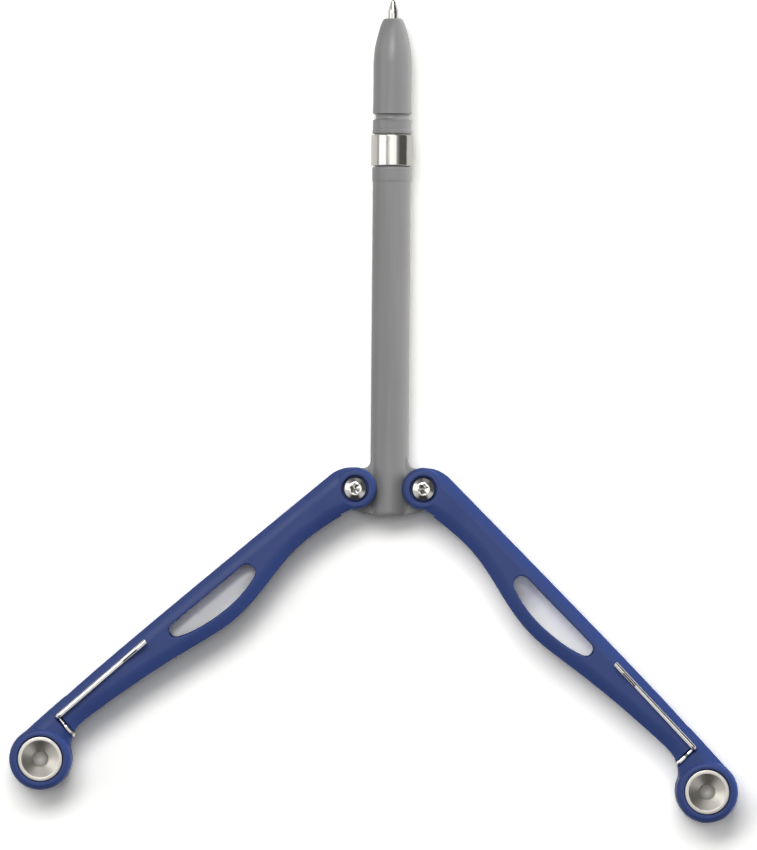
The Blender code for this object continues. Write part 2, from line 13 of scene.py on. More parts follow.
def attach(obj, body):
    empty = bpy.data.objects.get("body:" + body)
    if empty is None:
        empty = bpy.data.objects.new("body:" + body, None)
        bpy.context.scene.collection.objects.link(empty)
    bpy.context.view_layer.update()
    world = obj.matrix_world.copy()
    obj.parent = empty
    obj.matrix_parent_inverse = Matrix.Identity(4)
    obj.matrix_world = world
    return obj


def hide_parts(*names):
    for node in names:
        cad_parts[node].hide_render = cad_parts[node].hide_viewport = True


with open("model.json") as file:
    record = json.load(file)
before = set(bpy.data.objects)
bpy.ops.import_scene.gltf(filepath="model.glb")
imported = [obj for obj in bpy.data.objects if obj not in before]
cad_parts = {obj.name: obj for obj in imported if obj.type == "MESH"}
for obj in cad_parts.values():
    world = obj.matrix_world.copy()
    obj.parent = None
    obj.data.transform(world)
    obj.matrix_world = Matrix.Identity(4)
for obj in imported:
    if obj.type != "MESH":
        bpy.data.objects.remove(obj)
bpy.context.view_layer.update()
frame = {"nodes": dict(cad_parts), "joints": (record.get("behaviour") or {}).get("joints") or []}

MM = 0.001
X_AXIS = Vector((1, 0, 0))
Y_AXIS = Vector((0, 1, 0))
Z_AXIS = Vector((0, 0, 1))
FAR = 20.0
TINY = 0.01
SHARP_ANGLE = 35

# Photograph: size in pixels, pixels per millimetre, where the middle of the pivots shows, the pen's lean
# in degrees, and the camera's rise in metres
PHOTO_WIDTH = 757
PHOTO_HEIGHT = 850
PHOTO_SCALE = 4.0
PIVOTS_SEEN_AT = (389.2, 488.7)
PEN_LEAN = 0.47
CAMERA_RISE = 2.2

# Barrel and tang. The root fillet's run gives its radius at places along the tang
PIVOT_SPACING = 17.0
LOBE_R = 5.1
BARREL_R = 4.75
BARREL_TOP = 80.4
BARREL_RIM = 3.4
RIM_RISE = 0.15
RIM_ROUND = 0.45
BASE_DROP = 7.1
BASE_ROUND = 1.3
SHOULDER_Y = 5.15
SHOULDER_FILLET = 1.75
ROOT_R = 2.0
ROOT_FILLET = 2.6
ROOT_FILLET_RUN = ((-6.2, 0.3), (-5.7, 1.6), (-5.1, ROOT_FILLET), (3.8, ROOT_FILLET), (5.3, 0.3))
ROOT_SUNK = 0.03
TANG_HALF = 2.6
TANG_EDGE = 0.7
SEAT_HALF = 2.45
PIVOT_HOLE_R = 2.3
BORE_R = 3.35
BORE_BOTTOM = 15.0
SPIGOT_R = 4.3
SPIGOT_LENGTH = 3.4

# Ferrule, nose and writing tip. Tapers are curves: two ends and the two points that pull between them
FERRULE_R = 5.25
FERRULE_WALL = 0.65
FERRULE_BOTTOM = 80.7
FERRULE_TOP = 88.4
FERRULE_EDGE = 0.22
NOSE_R = 4.8
NOSE_BOTTOM = 88.7
NOSE_END = 117.5
NOSE_END_R = 2.35
NOSE_EDGE = 0.15
NOSE_FLARE = 0.1
NOSE_COLLAR = 1.0
COLLAR_STEP = 0.08
NOSE_TAPER = ((NOSE_R, 105.5), (NOSE_R, 110.0), (4.0, 112.6), (3.35, 115.0))
NOSE_ROUND = ((3.35, 115.0), (3.05, 116.0), (2.75, 116.8), (NOSE_END_R, NOSE_END - NOSE_EDGE))
GROOVE_Y = 92.9
GROOVE_WIDTH = 1.65
GROOVE_DEPTH = 0.8
REFILL_SHOULDER = 106.0
REFILL_NECK_R = 2.2
REFILL_TOP = 109.7
REFILL_ROOM = 0.3
TIP_R = 1.25
TIP_FLARE = 0.04
TIP_CONE = 119.2
TIP_END = 121.85
BALL_R = 0.5
BALL_ROOM = 0.06
PEN_END = 122.3

# Handle, in its own frame: s runs from the pivot to the weight, n towards the belly edge. Pulls shape the
# curves of its outline, and a shoulder is the width and drop of a boss's soft outer edge
HANDLE_REACH = 103.5
BOSS_R = 5.3
BOSS_SHOULDER = (1.1, 1.6)
BOSS_LEAVE = 66
BOSS_CLEARANCE = 0.1
BOSS_RUN = 14.0
RING_R = 7.75
RING_SHOULDER = (1.4, 1.7)
LIP_HALF = 7.15
LIP_INSET = 0.15
SIDE_HALF = 5.4
FACE_HALF = 6.8
NECK_HALF = 6.5
NECK_RUN = (78.0, 95.0)
CROWN_WIDTH = 3.05
CROWN_RISE = 1.0
EDGE_ROUND = 0.35
SPINE_END = (6.95, 2.95)
SPINE_PULLS = ((5.6, 3.35), (3.7, 4.1))
CHEEK_GAP = 3.15
SLOT_R = 8.2
TROUGH_CLEARANCE = 0.35
TROUGH_N = -PIVOT_SPACING / 2
FERRULE_ROOM = 0.6
CORE_HALF = 3.45
CORE_OVERLAP = 1.2
CORE_END = (82.0, -3.2)
SPINE = 2.3
STRAIGHT_START = (2.77, -6.65)
STRAIGHT_PULLS = ((36.0, -7.35), (80.0, -8.35))
BELLY_WAIST = (18.0, 1.75)
BELLY_WAIST_PULLS = ((14.5, 1.85), (10.0, 2.35))
BELLY_TOP = (44.2, 5.2)
BELLY_NECK = (88.0, -0.12)
BELLY_NECK_RISE = 1.92
BELLY_PULL_PLACES = (60.0, 52.2, 34.2, 28.0)
NECK_FILLET = 8.0
WINDOW_EDGE = 0.35
WINDOW_OVERLAP = 0.6
WINDOW_NEAR = (34.1, -1.7)
WINDOW_NEAR_R = 2.05
WINDOW_NEAR_PULL = (36.2, 1.25)
WINDOW_FAR = (57.1, -2.35)
WINDOW_FAR_R = 1.75
WINDOW_FAR_PULL = (53.8, 1.13)
WINDOW_CREST = (43.3, 1.85)
WINDOW_CREST_PULL_PLACES = (40.0, 47.5)

# Pivot hardware
SLEEVE_R = 2.0
SLEEVE_BORE_R = 1.55
SCREW_R = 1.25
SCREW_SHORT = 1.6
SLEEVE_BORE_SHORT = 1.2
HEAD_R = 2.9
HEAD_EDGE = 0.1
SCREW_HEAD = 2.5
NUT_HEAD = 1.95
HEAD_DOME = 0.85
HEAD_FLAT_R = 1.5
SOCKET_R = 1.4
SOCKET_DEPTH = 0.9
SOCKET_LOBES = 6
SOCKET_WAVE = 0.1
COUNTERBORE_R = 3.4
COUNTERBORE_FLOOR = 5.0
COUNTERBORE_EDGE = 0.2
WASHER_R = 4.5
WASHER_IN = 2.6
WASHER_OUT = 3.0
WASHER_EDGE = 0.08
FIT = 0.15

# End weights
WEIGHT_R = 5.58
WEIGHT_SEAT_R = 5.75
WEIGHT_SEAT_FLOOR = 4.65
WEIGHT_SEAT_EDGE = 0.3
WEIGHT_FLANGE = 4.85
WEIGHT_TOP = 6.9
WEIGHT_EDGE = 0.2
WEIGHT_RIM_R = 4.68
WEIGHT_DISH_R = 2.1
WEIGHT_DISH_FLOOR = 5.0
WEIGHT_DISH_STEP = 0.3
WEIGHT_DIMPLE = 0.15
# Radius of the weight's duller middle, which is also painted darker towards its edge as painted shade
WEIGHT_HAZE_AND_SHADE_R = WEIGHT_DISH_R - 0.15
TURNING_RINGS = 9
TURNING_DEPTH = 0.012
HUB_R = 2.6
HUB_HOLE_R = 2.85
STUD_R = 1.4
STUD_LENGTH = 3.0
STUD_ROOM = 0.25
STUD_END_ROOM = 0.3

# Wire clip, and the slot, groove and pocket that the handle has for it
CLIP_WIRE_R = 0.62
CLIP_ROW = -5.18
CLIP_LEG_S = 93.3
CLIP_LEG_LOW = 5.30
CLIP_LEG_HIGH = 5.85
CLIP_ARM_RISE = 1.6
CLIP_LEG_KINK_N = -2.0
CLIP_LEG_KINK_RUN = 0.8
CLIP_BEND = 1.0
CLIP_LIP_BEND = 1.2
CLIP_TIP_S = 64.15
CLIP_LIP_S = 67.4
CLIP_LIP_RISE = 2.3
CLIP_TOUCH_S = 71.8
CLIP_EDGE = 0.8
CLIP_HOOK_Z = 1.5
CLIP_HOOK_N = -2.1
CLIP_SLOT_HALF = 0.76
CLIP_SLOT_FLOOR = 4.6
CLIP_SLOT_END_N = 4.0
CLIP_GROOVE_LOW = 0.9
CLIP_GROOVE_STEP = 3.0
CLIP_GROOVE_OVERLAP = 0.5
CLIP_HOOK_ROOM = 0.25
CLIP_HOOK_END_ROOM = 0.3
CLIP_SWING = 0.5

# Places of the moving frames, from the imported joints
SWINGS = {side: joint for side in ("left", "right") for joint in frame["joints"]
          if joint["name"] == f"{side}_handle_swing"}
PIVOTS = {side: Vector(joint["pos_m"]) for side, joint in SWINGS.items()}
PEN_MIDDLE = (PIVOTS["left"] + PIVOTS["right"]) / 2
SCALE_MM = Matrix.Scale(MM, 4)
PEN_PLACE = Matrix.Translation(PEN_MIDDLE) @ SCALE_MM


def handle_place(side, mirrored):
    """Matrix from a handle's own frame to the scene."""
    open_swing = SWINGS[side]["range_deg"][1]
    turn = 270 - open_swing if side == "left" else 270 + open_swing
    flip = Matrix.Scale(-1, 4, Y_AXIS) if mirrored else Matrix.Identity(4)
    return Matrix.Translation(PIVOTS[side]) @ Matrix.Rotation(math.radians(turn), 4, "Z") @ flip @ SCALE_MM


def add_object(name, data):
    item = bpy.data.objects.new(name, data)
    bpy.context.scene.collection.objects.link(item)
    return item


def add_solid(name, bm):
    """Move a mesh builder's solid into a new object, its faces in order so that every run is the same."""
    bm.verts.index_update()
    faces = sorted([v.index for v in face.verts] for face in bm.faces)
    mesh = bpy.data.meshes.new(name)
    mesh.from_pydata([v.co for v in bm.verts], [], faces)
    bm.free()
    return add_object(name, mesh)


# Camera and studio

# Soft lamps: azimuth and elevation in degrees, distance, width and height in metres, the share of a white
# floor's full brightness that the lamp gives, and whether shiny parts mirror it
LAMPS = {
    "key_softbox": (109, 65, 1.3, 0.80, 0.46, 0.59, True),
    "left_softbox": (168, 36, 1.2, 0.8, 0.90, 0.12, True),
    "overhead_softbox": (0, 84, 1.8, 0.5, 1.2, 0.07, True),
    "overhead_fill": (90, 86, 1.8, 0.6, 0.6, 0.12, False),
    "right_fill": (24, 3, 1.2, 0.8, 0.10, 0.07, False),
    "near_fill": (270, 8, 1.2, 0.8, 0.20, 0.01, False),
}

# Brightness of the room in reflections: the walls by turn, from the left side through the near side and the
# right, where they give way to the ceiling by rise, and the ceiling's dark gap by the way to the far side
ROOM_WALLS = ((0.0, 0.45), (0.03, 0.80), (0.12, 0.75), (0.18, 0.05), (0.31, 0.05), (0.36, 0.75),
              (0.42, 0.75), (0.47, 0.12), (0.62, 0.10), (0.68, 0.35), (0.74, 0.35), (0.78, 0.12),
              (0.84, 0.24), (0.90, 0.70), (0.96, 0.60), (1.0, 0.45))
ROOM_WALL_TOP = ((0.72, 1.0), (0.90, 0.0))
ROOM_GAP = ((0.12, 0.0), (0.16, 1.0), (0.30, 1.0), (0.38, 0.0))
ROOM_GAP_DEPTH = 0.95
ROOM_CEILING = 0.50
ROOM_LIGHT = 0.04
FLOOR_HALF = 6.0


def add_camera():
    """Straight down over the pen, far off, turned by the lean that the pen has in the photograph."""
    lean = math.radians(PEN_LEAN)
    right = (PHOTO_WIDTH / 2 - PIVOTS_SEEN_AT[0]) / PHOTO_SCALE * MM
    up = (PIVOTS_SEEN_AT[1] - PHOTO_HEIGHT / 2) / PHOTO_SCALE * MM
    lens = bpy.data.cameras.new("photo_camera")
    lens.sensor_width = 36.0
    lens.lens = lens.sensor_width * CAMERA_RISE / (PHOTO_HEIGHT / PHOTO_SCALE * MM)
    lens.clip_start = 0.1
    lens.clip_end = 50.0
    camera = add_object("photo_camera", lens)
    shift = Matrix.Rotation(lean, 3, "Z") @ Vector((right, up, 0))
    camera.location = PEN_MIDDLE + shift + Z_AXIS * CAMERA_RISE
    camera.rotation_euler = (0, 0, lean)
    bpy.context.scene.camera = camera


def softbox(name, azimuth, elevation, distance, width, height, floor_share, mirrored):
    """A soft lamp aimed at the pen."""
    turn = math.radians(azimuth)
    rise = math.radians(elevation)
    toward = Vector((math.cos(turn) * math.cos(rise), math.sin(turn) * math.cos(rise), math.sin(rise)))
    lamp = bpy.data.lights.new(name, "AREA")
    lamp.shape = "RECTANGLE"
    lamp.size = width
    lamp.size_y = height
    lamp.energy = floor_share * (math.pi * distance) ** 2 / math.sin(rise)
    holder = add_object(name, lamp)
    holder.location = toward * distance
    holder.rotation_euler = (-toward).to_track_quat("-Z", "Y").to_euler()
    holder.visible_glossy = mirrored
    holder.visible_camera = False


def add_lamps():
    for name, settings in LAMPS.items():
        softbox(name, *settings)


# Finishes

# Colours are linear, and depths of a finish's relief are metres
GREY = (0.205, 0.205, 0.205)
BLUE = (0.030, 0.0535, 0.182)
BRIGHT_PLATING = (0.64, 0.626, 0.593)
SLEEVE_PLATING = (0.62, 0.605, 0.570)
CLIP_STEEL = (0.80, 0.785, 0.76)
TURNED_STEEL = (0.54, 0.52, 0.475)
BRASS = (0.72, 0.55, 0.28)
PAPER = (1.0, 0.992, 0.965)
GRAIN_DEPTH = 0.000004
POLISH_DEPTH = 0.0000002
TURNING_RELIEF = 0.000001
BRASS_DEPTH = 0.000003
# Where the lighter streaks of a moulding show: painted reflection bands
STREAK_EDGES = ((0.48, 0.0), (0.68, 1.0))


class Tone:
    """A value in a finish. Sums on it add Math nodes."""

    def __init__(self, finish, socket):
        self.finish = finish
        self.socket = socket

    def maths(self, operation, first, second):
        return self.finish.node("Math", {"operation": operation}, {0: first, 1: second})

    def __add__(self, other):
        return self.maths("ADD", self, other)

    def __radd__(self, other):
        return self.maths("ADD", other, self)

    def __sub__(self, other):
        return self.maths("SUBTRACT", self, other)

    def __rsub__(self, other):
        return self.maths("SUBTRACT", other, self)

    def __mul__(self, other):
        return self.maths("MULTIPLY", self, other)

    def __rmul__(self, other):
        return self.maths("MULTIPLY", other, self)

    def __lt__(self, other):
        return self.maths("LESS_THAN", self, other)

    def swing(self, amount):
        """How far the value is from its middle of a half, scaled to an amount."""
        return (self - 0.5) * amount


class Finish:
    """A look built from nodes, for a material or the world."""

    def __init__(self, owner):
        owner.use_nodes = True
        self.owner = owner
        self.tree = owner.node_tree

    def node(self, kind, settings, sockets, output=0):
        """Add a node: its settings first, then a value or a link for each socket."""
        item = self.tree.nodes.new("ShaderNode" + kind)
        for key, value in settings.items():
            setattr(item, key, value)
        for key, value in sockets.items():
            self.feed(item.inputs[key], value)
        return Tone(self, item.outputs[output])

    def feed(self, socket, value):
        if isinstance(value, Tone):
            self.tree.links.new(value.socket, socket)
        else:
            socket.default_value = value

    def shade(self, **sockets):
        """Set or link sockets of the main shader, with _ for a space in a socket's name."""
        shader = self.tree.nodes["Principled BSDF"]
        for key, value in sockets.items():
            self.feed(shader.inputs[key.replace("_", " ")], value)

    def ramp(self, value, stops):
        """A grey level that follows a value through stops of value and level."""
        level = self.node("ValToRGB", {}, {"Fac": value})
        elements = level.socket.node.color_ramp.elements
        for i, (position, grey) in enumerate(stops):
            stop = elements[i] if i < len(elements) else elements.new(position)
            stop.position = position
            stop.color = (grey, grey, grey, 1.0)
        return level

    def ray_kinds(self):
        """Whether a ray comes straight from the camera, and whether it was mirrored or let through."""
        path = self.tree.nodes.new("ShaderNodeLightPath")
        straight = Tone(self, path.outputs["Is Camera Ray"])
        glossy = Tone(self, path.outputs["Is Glossy Ray"])
        passed = Tone(self, path.outputs["Is Transmission Ray"])
        return straight, glossy + passed

    def spot(self, centre=(0, 0, 0), turn=0.0, stretch=(1, 1, 1)):
        """Object coordinates, moved, turned and stretched."""
        raw = self.node("TexCoord", {}, {}, "Object")
        moved = self.node("VectorMath", {"operation": "SUBTRACT"}, {0: raw, 1: centre})
        return self.node("Mapping", {}, {"Vector": moved, "Rotation": (0, 0, turn), "Scale": stretch})

    def noise(self, spot, scale, detail):
        return self.node("TexNoise", {}, {"Vector": spot, "Scale": scale, "Detail": detail})

    def tinted(self, colour, level):
        """A colour made lighter or darker by a level round 1."""
        return self.node("VectorMath", {"operation": "SCALE"}, {0: colour, "Scale": level})

    def bump(self, height, depth):
        return self.node("Bump", {}, {"Height": height, "Distance": depth, "Strength": 1.0})


def moulded_plastic(name, colour, roughness, gloss, streak_turn, streak_stretch, streak_tone):
    """Satin moulding: fine spark texture, a slow drift in tone, and soft streaks that are lighter in colour
    and a little glossier: painted reflection bands.
    """
    finish = Finish(bpy.data.materials.new(name))
    spot = finish.spot()
    grain = finish.noise(spot, 7000, 2.0)
    drift = finish.noise(spot, 55, 2.0)
    streaks = finish.noise(finish.spot(turn=streak_turn, stretch=streak_stretch), 420, 3.0)
    # The streaks lift the base colour: painted reflection bands, like the soft stripes that lamps leave on
    # satin plastic. They also make the surface a little glossier.
    painted_sheen_streaks = finish.ramp(streaks, STREAK_EDGES)
    finish.shade(
        Base_Color=finish.tinted(colour, 1 + drift.swing(0.10) + grain.swing(0.10) + painted_sheen_streaks * streak_tone),
        Roughness=roughness + drift.swing(0.08) + grain.swing(0.14) - painted_sheen_streaks * 0.05,
        Normal=finish.bump(grain, GRAIN_DEPTH),
        Specular_IOR_Level=gloss,
    )
    return finish.owner


def plated_metal(name, colour, roughness, axis_stretch):
    """Bright plating with faint polishing lines across the stretched directions."""
    finish = Finish(bpy.data.materials.new(name))
    lines = finish.noise(finish.spot(stretch=axis_stretch), 2600, 3.0)
    haze = finish.noise(finish.spot(), 160, 3.0)
    finish.shade(
        Base_Color=finish.tinted(colour, 1 + lines.swing(0.08) + haze.swing(0.05)),
        Metallic=1.0,
        Roughness=roughness + lines.swing(0.10) + haze.swing(0.05),
        Normal=finish.bump(lines, POLISH_DEPTH),
    )
    return finish.owner


def turned_steel(name, centre):
    """Steel turned on a lathe: rings round the centre, in tone, gloss and height, and a duller, darker
    middle that is painted darker still towards its edge, as painted shade where the dish floor steps down.
    """
    finish = Finish(bpy.data.materials.new(name))
    spot = finish.spot(centre=centre, stretch=(1, 1, 0))
    radius = finish.node("VectorMath", {"operation": "LENGTH"}, {0: spot}, "Value")
    rings = finish.node("TexNoise", {"noise_dimensions": "1D"},
                        {"W": radius, "Scale": 9000.0, "Detail": 3.0})
    haze = finish.noise(finish.spot(), 500, 3.0)
    dull_shaded_middle = radius < WEIGHT_HAZE_AND_SHADE_R * MM
    # The middle's darkening, which grows towards its edge, is painted shade at the step round the dish
    # floor. Its lower gloss is a real duller finish.
    tone = 1 - dull_shaded_middle * (0.32 + radius * 205) + rings.swing(0.30) + haze.swing(0.10)
    finish.shade(
        Base_Color=finish.tinted(TURNED_STEEL, tone),
        Metallic=1 - dull_shaded_middle * 0.25,
        Roughness=0.37 + dull_shaded_middle * 0.2 + rings.swing(0.20) + haze.swing(0.10),
        Normal=finish.bump(rings, TURNING_RELIEF),
    )
    return finish.owner


def plain_brass(name):
    finish = Finish(bpy.data.materials.new(name))
    tarnish = finish.noise(finish.spot(), 300, 4.0)
    lines = finish.noise(finish.spot(stretch=(1, 1, 8)), 3000, 2.0)
    finish.shade(
        Base_Color=finish.tinted(BRASS, 0.92 + tarnish.swing(0.35)),
        Metallic=1.0,
        Roughness=0.30 + tarnish.swing(0.20) + lines.swing(0.10),
        Normal=finish.bump(lines, BRASS_DEPTH),
    )
    return finish.owner


def floor_paper():
    """Plain white paper, a little brighter as it is seen, straight or mirrored, than as it gives light."""
    finish = Finish(bpy.data.materials.new("floor_paper"))
    straight, mirrored = finish.ray_kinds()
    fibre = finish.noise(finish.spot(), 900, 2.0)
    level = 0.86 + straight * 0.44 + mirrored * 0.04 + fibre.swing(0.02)
    finish.shade(Base_Color=finish.tinted(PAPER, level), Roughness=1.0, Specular_IOR_Level=0.0)
    return finish.owner


def add_floor():
    bm = bmesh.new()
    bmesh.ops.create_grid(bm, x_segments=1, y_segments=1, size=FLOOR_HALF)
    floor = add_solid("floor", bm)
    floor.data.materials.append(floor_paper())


def add_world():
    """White behind the pen, and a dim room for light.

    Reflections show pale and dark walls, and a ceiling with a dark gap on the far side.
    """
    room = Finish(bpy.data.worlds.new("studio_room"))
    bpy.context.scene.world = room.owner
    straight, mirrored = room.ray_kinds()
    ray = room.node("TexCoord", {}, {}, "Generated")
    across, along, rise = (room.node("SeparateXYZ", {}, {0: ray}, axis) for axis in "XYZ")
    turn = room.node("Math", {"operation": "ARCTAN2"}, {0: along, 1: across}) * (0.5 / math.pi) + 0.5
    walls = room.ramp(turn, ROOM_WALLS)
    low = room.ramp(rise, ROOM_WALL_TOP)
    gap = room.ramp(along, ROOM_GAP)
    seen = walls * low + (1 - low) * (1 - gap * ROOM_GAP_DEPTH) * ROOM_CEILING
    strength = straight + mirrored * seen + (1 - straight - mirrored) * ROOM_LIGHT
    background = room.tree.nodes["Background"].inputs
    room.feed(background["Strength"], strength)
    room.feed(background["Color"], (1.0, 1.0, 1.0, 1.0))


# Outline helpers

def arc(centre, radius, start, end, steps):
    """Points on a circle from one angle to another, in degrees, both ends included."""
    angles = [math.radians(start + (end - start) * i / steps) for i in range(steps + 1)]
    return [(centre[0] + radius * math.cos(a), centre[1] + radius * math.sin(a)) for a in angles]


def bezier(p0, p1, p2, p3, steps):
    """Points on a cubic curve, without its first point."""
    points = []
    for i in range(1, steps + 1):
        t = i / steps
        u = 1 - t
        weights = (u ** 3, 3 * u * u * t, 3 * u * t * t, t ** 3)
        points.append(tuple(sum(w * p[k] for w, p in zip(weights, (p0, p1, p2, p3))) for k in (0, 1)))
    return points


def rounded_path(corners, radii, steps):
    """A path through 3-D corners, with an arc of the given radius at each inner corner."""
    corners = [Vector(c) for c in corners]
    path = [corners[0]]
    for before, corner, after, radius in zip(corners, corners[1:], corners[2:], radii):
        to_before = (before - corner).normalized()
        to_after = (after - corner).normalized()
        half = to_before.angle(to_after) / 2
        bisector = (to_before + to_after).normalized()
        centre = corner + bisector * (radius / math.sin(half))
        first = corner + to_before * (radius / math.tan(half)) - centre
        turn = math.pi - 2 * half
        axis = (-to_before).cross(to_after).normalized()
        for i in range(steps + 1):
            path.append(centre + Matrix.Rotation(turn * i / steps, 3, axis) @ first)
    path.append(corners[-1])
    return path


def quarter_round(width, height, steps):
    """Inset and rise of each step of a rounded edge, from the side wall to the flat face."""
    turns = [math.radians(90 * i / steps) for i in range(steps + 1)]
    insets = [width * (1 - math.cos(t)) for t in turns]
    rises = [height * math.sin(t) for t in turns]
    return [(insets[i + 1] - insets[i], rises[i + 1] - rises[i]) for i in range(steps)]


# Solid helpers: each returns a mesh builder in millimetres

def prism(outline, low, high):
    """A flat outline raised from one height to another."""
    bm = bmesh.new()
    face = bm.faces.new([bm.verts.new((x, y, low)) for x, y in outline])
    raised = bmesh.ops.extrude_face_region(bm, geom=[face])
    top = [v for v in raised["geom"] if isinstance(v, bmesh.types.BMVert)]
    bmesh.ops.translate(bm, verts=top, vec=(0, 0, high - low))
    bmesh.ops.recalc_face_normals(bm, faces=bm.faces)
    return bm


def flat_faces(bm, facing):
    """The faces that look straight up, or straight down."""
    return [f for f in bm.faces if f.normal.z * facing > 0.99]


def draw_in(bm, faces, steps):
    """Draw flat faces in by steps, each an inset and a rise."""
    for inset, rise in steps:
        bmesh.ops.inset_region(bm, faces=faces, thickness=inset, depth=rise, use_even_offset=True)


def turned_over(bm):
    """A solid mirrored from the front to the back."""
    bmesh.ops.scale(bm, verts=bm.verts, vec=(1, 1, -1))
    bmesh.ops.reverse_faces(bm, faces=bm.faces)
    return bm


def crowned(outline, side_half, steps):
    """A raised outline whose two flat faces are drawn in by steps."""
    bm = prism(outline, -side_half, side_half)
    for facing in (1, -1):
        draw_in(bm, flat_faces(bm, facing), steps)
    return bm


def grown(outline, distance):
    """A closed outline moved outwards by a distance."""
    count = len(outline)
    points = [Vector(p) for p in outline]
    area = sum(points[i - 1].cross(points[i]) for i in range(count))
    moved = []
    for i, point in enumerate(points):
        along = (points[(i + 1) % count] - points[i - 1]).normalized()
        outward = Vector((along.y, -along.x)) * (1 if area > 0 else -1)
        moved.append(tuple(point + outward * distance))
    return moved


def flared_cutter(outline, edge, face, floor):
    """A cutter that narrows down to the outline through a round edge, which it leaves on the part."""
    bm = prism(grown(outline, edge), face, FAR)
    cap = flat_faces(bm, -1)
    draw_in(bm, cap, [(inset, rise) for rise, inset in quarter_round(edge, edge, 5)])
    draw_in(bm, cap, [(TINY, face - edge - floor)])
    return bm


def turned(profile, axis, segments, centre=(0, 0, 0)):
    """A closed profile of (radius, height) points, spun about an axis through the centre."""
    bm = bmesh.new()
    verts = [bm.verts.new(X_AXIS * r + axis * h) for r, h in profile]
    edges = [bm.edges.new((a, b)) for a, b in zip(verts, verts[1:])]
    on_axis = profile[0][0] == 0 and profile[-1][0] == 0
    if not on_axis:
        edges.append(bm.edges.new((verts[-1], verts[0])))
    bmesh.ops.spin(bm, geom=verts + edges, axis=axis, cent=(0, 0, 0), steps=segments,
                   angle=math.tau, use_merge=True)
    bmesh.ops.remove_doubles(bm, verts=bm.verts, dist=1e-4)
    bmesh.ops.recalc_face_normals(bm, faces=bm.faces)
    flat_poles = [v for v in bm.verts if v.co.cross(axis).length < 1e-4
                  and all(abs(f.normal.dot(axis)) > 0.9999 for f in v.link_faces)]
    bmesh.ops.dissolve_verts(bm, verts=flat_poles)
    bmesh.ops.translate(bm, verts=bm.verts, vec=centre)
    return bm


def cylinder(radius, low, high, segments, centre=(0, 0, 0)):
    return turned([(0, low), (radius, low), (radius, high), (0, high)], Z_AXIS, segments, centre)


def round_mouth(radius, floor, face, edge, facing, segments, centre=(0, 0, 0)):
    """A cutter for a flat-bottomed round seat, with a rounded edge where it meets the face."""
    wall = [(radius + edge - edge * math.sin(t), face - edge + edge * math.cos(t))
            for t in (math.radians(a) for a in (90, 70, 50, 30, 10))]
    mouth = radius + edge
    profile = [(0, floor), (radius, floor), *wall, (mouth, face + TINY), (mouth, FAR), (0, FAR)]
    return turned([(r, z * facing) for r, z in profile], Z_AXIS, segments, centre)


def block(low, high):
    bm = bmesh.new()
    bmesh.ops.create_cube(bm, size=1.0)
    bmesh.ops.scale(bm, verts=bm.verts, vec=Vector(high) - Vector(low))
    bmesh.ops.translate(bm, verts=bm.verts, vec=(Vector(high) + Vector(low)) / 2)
    return bm


def combine(base, steps):
    """Join to and cut from a solid in turn. Each step is an operation and another solid."""
    target = add_solid("combine_base", base)
    for operation, tool_bm in steps:
        tool = add_solid("combine_tool", tool_bm)
        change = target.modifiers.new("combine", "BOOLEAN")
        change.operation = operation
        change.solver = "EXACT"
        change.object = tool
        graph = bpy.context.evaluated_depsgraph_get()
        result = bpy.data.meshes.new_from_object(target.evaluated_get(graph))
        target.modifiers.clear()
        target.data = result
        bpy.data.objects.remove(tool, do_unlink=True)
    bm = bmesh.new()
    bm.from_mesh(target.data)
    bpy.data.objects.remove(target, do_unlink=True)
    bmesh.ops.remove_doubles(bm, verts=bm.verts, dist=1e-3)
    bmesh.ops.dissolve_degenerate(bm, edges=bm.edges, dist=1e-3)
    return bm


def piece(name, bm, place, finish, body, node):
    """Put a mesh builder at its place, and make it the visible piece for a CAD node."""
    bmesh.ops.transform(bm, matrix=place, verts=bm.verts)
    if place.determinant() < 0:
        bmesh.ops.reverse_faces(bm, faces=bm.faces)
    item = add_solid(name, bm)
    item.data.shade_smooth()
    item.data.set_sharp_from_angle(angle=math.radians(SHARP_ANGLE))
    item.data.materials.append(finish)
    even = item.modifiers.new("even_shading", "WEIGHTED_NORMAL")
    even.keep_sharp = True
    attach(item, body)
    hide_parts(node)


# Pen

def tang_outline():
    """Base arc that runs into the two lobes, then shoulders that run into the barrel."""
    pivot_x = PIVOT_SPACING / 2
    drop = BASE_DROP - LOBE_R
    base_y = (pivot_x ** 2 - drop ** 2) / (2 * drop)
    base_r = base_y + BASE_DROP
    touch = math.degrees(math.atan2(-base_y, pivot_x))
    right = arc((pivot_x, 0), LOBE_R, touch, 90, 30)
    fillet_x = BARREL_R + SHOULDER_FILLET
    fillet_y = SHOULDER_Y + SHOULDER_FILLET
    right += arc((fillet_x, fillet_y), SHOULDER_FILLET, 270, 180, 12)
    right += arc((BARREL_R - ROOT_R, fillet_y), ROOT_R, 0, 90, 10)[1:]
    left = [(-x, y) for x, y in reversed(right)]
    base = arc((0, base_y), base_r, -180 - touch, touch, 32)
    return right + left + base[1:-1]


def barrel_profile():
    """Half section of the barrel: domed base, straight body, rim and spigot."""
    low = -BASE_DROP
    base_edge = (BARREL_R - BASE_ROUND, low + 0.1)
    rim_r = BARREL_R + RIM_RISE
    rim_low = BARREL_TOP - BARREL_RIM
    rim_high = (rim_r, BARREL_TOP - RIM_ROUND)
    return [
        (0, low),
        base_edge,
        *bezier(base_edge, (BARREL_R - 0.4, low + 0.2), (BARREL_R, low + 0.7), (BARREL_R, low + 1.5), 8),
        (BARREL_R, rim_low - 0.4),
        (BARREL_R + 0.05, rim_low - 0.2),
        (rim_r, rim_low),
        rim_high,
        *bezier(rim_high, (rim_r, BARREL_TOP - 0.1), (BARREL_R, BARREL_TOP),
                (BARREL_R - 0.2, BARREL_TOP), 4),
        (SPIGOT_R, BARREL_TOP),
        (SPIGOT_R, BARREL_TOP + SPIGOT_LENGTH),
        (0, BARREL_TOP + SPIGOT_LENGTH),
    ]


